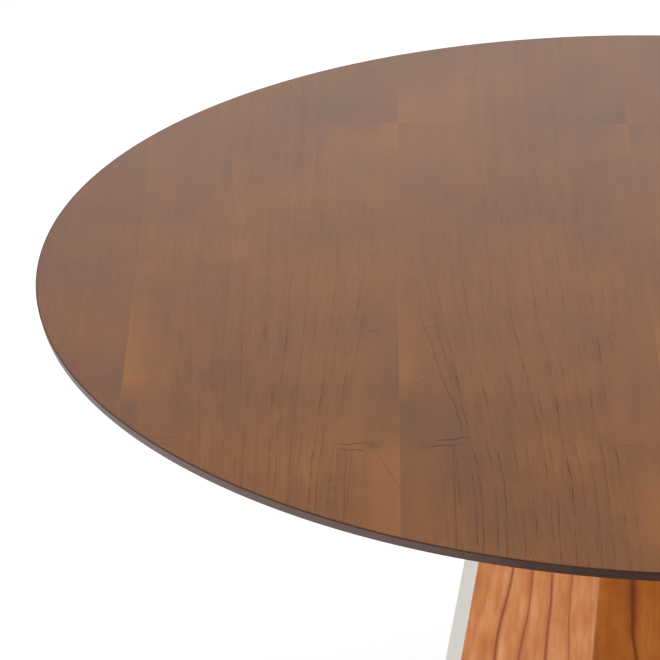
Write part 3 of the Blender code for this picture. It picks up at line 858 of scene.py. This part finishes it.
# The leaf left of the next figured seam is plain towards the front
plain = node("Math", whole, PLAIN_LEAF, operation="COMPARE")
calm = node("MapRange", run, 0.30, 0.42, 1.0, 0.15)
calm = node("Mix", plain, 1.0, calm, data_type="FLOAT")
painted_sheen = sheen
for factor in (wedge, by_seam, calm, end_flip):
    painted_sheen = node("Math", painted_sheen, factor, operation="MULTIPLY")
hairline = node("MapRange", side, 0.0003, 0.0014, 1.0, 0.0)
for factor in (bold, calm):
    hairline = node("Math", hairline, factor, operation="MULTIPLY")
blotch_at = node(
    "Mapping", Vector=sheet, Scale=(1.2 / BLOTCH, 0.8 / BLOTCH, 1.0), Location=(21.06, 34.43, 0.0))
blotch = node("TexNoise", Vector=blotch_at, Scale=1.0, Detail=3.0, Roughness=0.58)
band_at = node(
    "Mapping", Vector=figure, Scale=(1 / BAND_WIDTH, 1 / BAND_LENGTH, 1.0), Location=(7.0, 3.0, 5.0))
band = node("TexNoise", Vector=band_at, Scale=1.0, Detail=2.0, Roughness=0.5)
# The last leaf at the left took more stain
outer = node("Math", whole, OUTER_LEAF, operation="COMPARE")
tone = -0.40
for cause, weight in (
    (blotch, 1.35), (band, 0.5), (painted_sheen, 0.26), (early, 0.16), (hairline, 0.22), (outer, -0.11),
):
    tone = node("Math", cause, weight, tone, operation="MULTIPLY_ADD")
ground = node("ValToRGB", tone, stops=[(0.0, "#7B533C"), (0.5, "#925D36"), (1.0, "#A56A35")])
fine_tone = node("ValToRGB", fine, stops=[(0.30, "#DED7D2"), (0.58, "#FFFFFF")])
fine_part = node("Math", dense, 0.35, 0.18, operation="MULTIPLY_ADD")
ground = node("Mix", fine_part, ground, fine_tone, data_type="RGBA", blend_type="MULTIPLY")
line_part = node("Math", line, 0.38, operation="MULTIPLY")
line_part = node("Math", line_part, checks, operation="MAXIMUM")
ground = node("Mix", line_part, ground, "#33221A", data_type="RGBA")
# The lines are open grooves, which the lacquer does not fill, so they lose its shine
groove = node("Math", line, checks, operation="MAXIMUM")
shine = node("MapRange", groove, 0.0, 1.2, 0.5, 0.1)
# A few specks of pale grain filler
speck = node("TexVoronoi", Vector=sheet, Scale=1 / SPECK_SPACING, voronoi_dimensions="2D")
kept = node("MapRange", speck.outputs["Color"], 0.5, 0.55, 0.0, 0.75)
speck = node("MapRange", speck, SPECK / 2 / SPECK_SPACING, SPECK / SPECK_SPACING, 1.0, 0.0)
speck = node("Math", speck, kept, operation="MULTIPLY")
ground = node("Mix", speck, ground, "#D9B78F", data_type="RGBA")
# Stain gathers on the sanded arris
flat_spot = node("CombineXYZ", axes.outputs["X"], axes.outputs["Y"])
length = node("VectorMath", flat_spot, operation="LENGTH")
rim = node("MapRange", length, TOP_RADIUS - 0.0022, TOP_RADIUS - 0.0004, 0.0, 0.7)
ground = node("Mix", rim, ground, "#35221A", data_type="RGBA")
rough = node("MapRange", fine, 0.0, 1.0, 0.31, 0.40)
relief = node("Math", groove, -0.5, fine, operation="MULTIPLY_ADD")
bump = node("Bump", Height=relief, Strength=0.1, Distance=0.0002)
join(shader, Base_Color=ground, Roughness=rough, Specular_IOR_Level=shine, Normal=bump)

# The sheet's cut edge drinks the stain: a thin matt line, nearly black, under the arris
CUT_FIBRE = 0.003
cut_edge, node, shader, spot = finish("stained_veneer_cut_edge", 0.8, Specular_IOR_Level=0.15)
fibre = node("TexNoise", Vector=spot, Scale=1 / CUT_FIBRE, Detail=3.0)
colour = node("ValToRGB", fibre, stops=[(0.3, "#3E281E"), (0.7, "#503428")])
bump = node("Bump", Height=fibre, Strength=0.3, Distance=0.0002)
join(shader, Base_Color=colour, Normal=bump)

VENEER_EASE = 0.0005
sheet_mesh = spun(eased([
    (0.0, TABLE_HEIGHT, 0), (TOP_RADIUS, TABLE_HEIGHT, VENEER_EASE),
    (TOP_RADIUS, VENEER_UNDER, 0.0001), (0.0, VENEER_UNDER, 0)], steps=4), TOP_STEPS)
for each in sheet_mesh.faces:
    each.material_index = 1 if each.normal.z < 0.85 else 0
piece = shown("bookmatched_veneer", sheet_mesh, stained, cut_edge)
stand_for(piece, "top_veneer", "table", sharp=40)


# Bolts, washers and inserts: four M6 socket-head bolts come up through the plate into inserts in the top.
# Blackened steel bolts on flat washers; the inserts are zinc plated, barbed and pressed into the board.

# Black oxide on steel: a deep grey-black metal with a dull oily sheen
OXIDE_CLOUD = (0.002, 3.0, 0.5)
black_oxide = coat(
    "black_oxide_steel", 0.42, drift=OXIDE_CLOUD, colours=[(0.3, "#2A2B2D"), (0.7, "#414245")],
    shine=(0.36, 0.55), grain=OXIDE_CLOUD, relief=(0.1, 0.0001), Metallic=1.0)

HEAD_UNDER, BOLT_END = levels("top_bolt_1")
WASHER_LOW, WASHER_TOP = levels("top_washer_1")
HEAD = 0.006
HEAD_TOP = HEAD_UNDER + HEAD
HEAD_R = 0.005
BOLT_R = 0.003
BOLT_PITCH = 0.001
BOLT_THREAD = 0.018
BOLT_DEPTH = 0.0005
KEY_FLAT = 0.0025
KEY_DEPTH = 0.003
WASHER_R = 0.0075
WASHER_BORE_R = 0.0033
WASHER_STEPS = 64
INSERT_LOW, INSERT_TOP = levels("top_insert_1")
INSERT_R = 0.005
INSERT_BORE_R = 0.0033
BARBS = 6
BARB = 0.0005
# The knurl on the head is drawn with half as many teeth as a real one, so that it shows
BOLT_STEPS = 72
KNURL = 0.0002
key = hexagon(KEY_FLAT, BOLT_STEPS)
knurl = [HEAD_R - KNURL * (k % 2) for k in range(BOLT_STEPS)]
bolt_rings = [
    (key, HEAD_UNDER + KEY_DEPTH), (key, HEAD_UNDER + 0.0003), ([r + 0.0002 for r in key], HEAD_UNDER),
    (HEAD_R - 0.0007, HEAD_UNDER), (HEAD_R - 0.0003, HEAD_UNDER + 0.0006),
    (knurl, HEAD_UNDER + 0.0009), (knurl, HEAD_TOP - 0.0007),
    (HEAD_R - 0.0003, HEAD_TOP - 0.0004), (HEAD_R - 0.0004, HEAD_TOP),
    (BOLT_R + 0.0002, HEAD_TOP), (BOLT_R, HEAD_TOP + 0.0003), (BOLT_R, BOLT_END - BOLT_THREAD - BOLT_DEPTH)]
# Each barb widens downwards to a sharp step, so that the insert goes up into its hole but does not come out
barbs = []
barb_step = (INSERT_TOP - INSERT_LOW) / (BARBS + 1)
for k in range(BARBS):
    barbs += [(INSERT_R - BARB, INSERT_TOP - k * barb_step), (INSERT_R, INSERT_TOP - (k + 1) * barb_step)]
barbs.append((INSERT_R - BARB, INSERT_LOW + barb_step))
bolt = threaded(bolt_rings, BOLT_STEPS, BOLT_R - BOLT_DEPTH, BOLT_R, BOLT_PITCH, BOLT_END - BOLT_THREAD,
                BOLT_END - TIP, BOLT_END)
washer = spun(eased([
    (WASHER_R, WASHER_TOP, 0.0003), (WASHER_R, WASHER_LOW, 0.0005), (WASHER_BORE_R, WASHER_LOW, 0.0002),
    (WASHER_BORE_R, WASHER_TOP, 0.0002)]), WASHER_STEPS, ring=True)
insert = spun(barbs + eased([
    (INSERT_R - BARB, INSERT_LOW, BARB), (INSERT_BORE_R, INSERT_LOW, BARB),
    (INSERT_BORE_R, INSERT_TOP, BARB)]), NUT_STEPS, ring=True)
four_of(bolt, "socket_bolt", black_oxide, "top_bolt", "table", sharp=30)
four_of(washer, "flat_washer", black_oxide, "top_washer", "table", sharp=30)
four_of(insert, "barbed_insert", zinc, "top_insert", "table", sharp=30)


# Studio: a pale floor that keeps the table's shadow, a white surround, and soft boxes overhead and at the
# sides. A long lens looks down on the top from the front.

# Painted floor, matt white: the camera sees it glow to white paper that still takes the table's shadow. The
# glow makes up for the lamps, which fade with distance. Reflections see less of it, and least in front
SHADOW_SHARE = 0.7
MIRROR_SHARE = 0.3
FLOOR_REACH = 30.0
floor_paint, node, shader, spot = finish("matt_white_floor_paint", 0.9)
shader.inputs["Base Color"].default_value = linear("#E6E6E4")
place = node("SeparateXYZ", spot)
far = node("VectorMath", spot, operation="LENGTH")
open_glow = node("MapRange", far, 1.0, 4.0, 2.14, 2.6)
lit = node("MapRange", place.outputs["X"], -0.80, -0.34, 1.0, 0.0, **SOFT)
aside = node("MapRange", place.outputs["Y"], 0.05, 0.5, 1.0, 0.65)
lit = node("Math", lit, aside, operation="MULTIPLY")
behind = node("MapRange", place.outputs["Y"], -0.4, 0.3, 0.0, 0.65, **SOFT)
lit = node("Math", lit, behind, operation="MAXIMUM")
mirror_glow = node("MapRange", lit, 0.0, 1.0, 0.06, 1.15)
rays = node("LightPath").outputs
plain = node("Math", rays["Is Camera Ray"], rays["Is Transmission Ray"], operation="MAXIMUM")
mirrored = node("Math", rays["Is Glossy Ray"], 1 - MIRROR_SHARE, operation="MULTIPLY")
glow = node("Mix", plain, mirror_glow, open_glow, data_type="FLOAT")
glow_share = node("Mix", plain, mirrored, 1 - SHADOW_SHARE, data_type="FLOAT")
white = node("Emission", Color=(1.0, 1.0, 1.0, 1.0), Strength=glow)
mixed = node("MixShader", glow_share, shader, white)
# The floor is clear from below, so that the feet and the underside can be looked at
under = node("NewGeometry").outputs["Backfacing"]
mixed = node("MixShader", under, mixed, node("BsdfTransparent"))
tree = floor_paint.node_tree
tree.links.new(mixed.outputs[0], tree.nodes["Material Output"].inputs["Surface"])
floor_mesh = bmesh.new()
bmesh.ops.create_grid(floor_mesh, x_segments=8, y_segments=8, size=FLOOR_REACH)
floor = shown("floor", floor_mesh, floor_paint)

# White surround: the camera sees plain white, the object gets a soft fill, and reflections darken overhead
FILL = 0.42
world = bpy.data.worlds.new("white_surround")
scene.world = world
world.use_nodes = True
tree = world.node_tree
node = partial(add_node, tree)
background = tree.nodes["Background"]
direction = node("TexCoord").outputs["Generated"]
level = node("SeparateXYZ", direction).outputs["Z"]
shade = node("MapRange", level, 0.355, 0.515, 1.0, 0.15, **SOFT)
rays = node("LightPath").outputs
plain = node("Math", rays["Is Camera Ray"], rays["Is Transmission Ray"], operation="MAXIMUM")
seen = node("Math", plain, rays["Is Glossy Ray"], operation="MAXIMUM")
shade = node("Math", shade, plain, operation="MAXIMUM")
fill = node("Mix", seen, FILL, shade, data_type="FLOAT")
background.inputs["Color"].default_value = (1.0, 1.0, 1.0, 1.0)
tree.links.new(fill.outputs[0], background.inputs["Strength"])


def soft_box(name, place, aim, size, power):
    """A square soft box that faces the point it is aimed at."""
    lamp = bpy.data.lights.new(name, "AREA")
    lamp.shape = "SQUARE"
    lamp.size = size
    lamp.energy = power
    box = bpy.data.objects.new(name, lamp)
    scene.collection.objects.link(box)
    box.location = place
    box.rotation_euler = (Vector(aim) - Vector(place)).to_track_quat("-Z", "Y").to_euler()
    box.visible_camera = False
    box.visible_glossy = False


soft_box("overhead_soft_box", (-0.3, -0.2, 3.2), (0.0, 0.0, 0.76), 2.4, 24.0)
soft_box("left_soft_box", (-2.65, -1.8, 0.95), (0.0, 0.0, 0.45), 1.6, 55.0)
soft_box("right_soft_box", (2.6, 1.4, 0.95), (0.0, 0.0, 0.45), 1.6, 42.0)

camera_data = bpy.data.cameras.new("studio_camera")
camera_data.sensor_width = 36.0
camera_data.lens = 239.02
camera_data.clip_end = 200.0
camera = bpy.data.objects.new("studio_camera", camera_data)
scene.collection.objects.link(camera)
camera.location = (-0.2094, -3.7329, 2.4430)
camera.rotation_euler = (radians(64.885), 0.0, radians(1.8))
scene.camera = camera
scene.view_settings.view_transform = "Standard"
